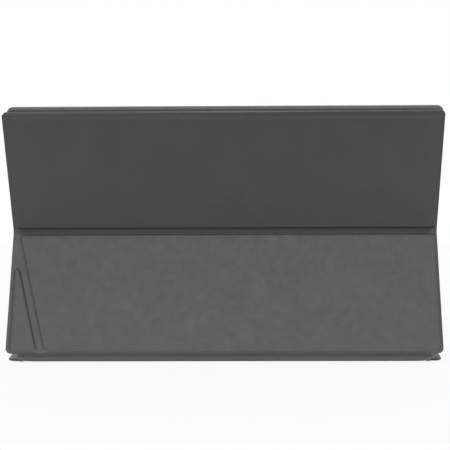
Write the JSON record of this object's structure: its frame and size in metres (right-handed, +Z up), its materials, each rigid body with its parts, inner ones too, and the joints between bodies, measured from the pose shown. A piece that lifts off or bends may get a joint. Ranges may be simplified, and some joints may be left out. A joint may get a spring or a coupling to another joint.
{
  "type": "portable monitor with cover",
  "caption": "Slim flat display standing on its folding cover: back panel, propping leg with a corner flap, narrow spine and lined front cover on the table.",
  "frame": {"origin": "middle of the front cover's underside, on the table", "axes": "+X across the display towards the corner flap, +Y behind the screen, +Z up"},
  "size_m": [0.363, 0.2365, 0.2131],
  "materials": {
    "skin": "fine grained synthetic leather, matt",
    "fold_skin": "soft synthetic leather, matt",
    "lining": "short-napped microfibre",
    "stiffener": "plain fibre board",
    "mat": "matt ribbed rubber",
    "housing": "fine spark texture",
    "bezel": "satin",
    "screen": "smooth anti-glare film",
    "film": "matt white",
    "guide": "clear acrylic",
    "tray": "bare sheet",
    "circuit": "solder mask",
    "cable": "flat ribbon",
    "steel": "plated",
    "foam": "closed cell foam",
    "key": "satin",
    "lens": "clear"
  },
  "bodies": {
    "front_cover": {"front_cover_skin": "skin", "front_cover_board": "stiffener", "front_cover_lining": "lining", "rear_fold": "fold_skin", "foot_mat": "mat", "stop_ridges": "mat", "closure_magnets": "steel"},
    "spine": {"spine_skin": "skin", "spine_board": "stiffener", "spine_lining": "lining", "foot_fold": "fold_skin"},
    "leg": {"leg_skin": "skin", "leg_board": "stiffener", "leg_lining": "lining", "crease_fold": "fold_skin", "corner_fold": "fold_skin"},
    "corner_flap": {"corner_skin": "skin", "corner_board": "stiffener", "corner_lining": "lining"},
    "display": {"back_panel_skin": "skin", "back_panel_board": "stiffener", "back_panel_lining": "lining", "mounting_pad": "foam", "rear_housing": "housing", "front_bezel": "bezel", "bezel_gasket": "foam", "lcd_panel": "screen", "diffuser_sheet": "film", "light_guide": "guide", "backlight_tray": "tray", "led_strip": "film", "driver_board": "circuit", "driver_cable": "cable", "main_board": "circuit", "shield_can": "steel", "usb_c_socket": "steel", "button_board": "circuit", "power_led_lens": "lens", "housing_screws": "steel", "board_screws": "steel", "bezel_magnets": "steel"},
    "power_key": {"power_button": "key"},
    "menu_key": {"menu_button": "key"},
    "up_key": {"up_button": "key"},
    "down_key": {"down_button": "key"}
  },
  "joints": [
    {"name": "rear_fold", "type": "hinge", "parent": "front_cover", "child": "spine", "pos_m": [0, 0.1146, 0.0013], "axis": [1, 0, 0], "range_deg": [-36.1, 0]},
    {"name": "foot_fold", "type": "hinge", "parent": "spine", "child": "leg", "pos_m": [0, 0.12365, 0.0079], "axis": [1, 0, 0], "range_deg": [-84.3, 0]},
    {"name": "crease_fold", "type": "hinge", "parent": "leg", "child": "display", "pos_m": [0, 0.06707, 0.10432], "axis": [-1, 0, 0], "range_deg": [-54.6, 0]},
    {"name": "corner_fold", "type": "hinge", "parent": "leg", "child": "corner_flap", "pos_m": [0.16446, 0.09834, 0.05102], "axis": [0.2454, -0.4906, 0.8361], "range_deg": [0, 90]},
    {"name": "power_press", "type": "slide", "parent": "display", "child": "power_key", "axis": [0, 0.9121, -0.4099], "range_m": [0, 0.0005], "stiffness_N_per_m": 300},
    {"name": "menu_press", "type": "slide", "parent": "display", "child": "menu_key", "axis": [0, 0.9121, -0.4099], "range_m": [0, 0.0005], "stiffness_N_per_m": 300},
    {"name": "up_press", "type": "slide", "parent": "display", "child": "up_key", "axis": [0, 0.9121, -0.4099], "range_m": [0, 0.0005], "stiffness_N_per_m": 300},
    {"name": "down_press", "type": "slide", "parent": "display", "child": "down_key", "axis": [0, 0.9121, -0.4099], "range_m": [0, 0.0005], "stiffness_N_per_m": 300}
  ],
  "couplings": [
    {"joint": "crease_fold", "follows": "foot_fold", "ratio": 0.64769}
  ]
}
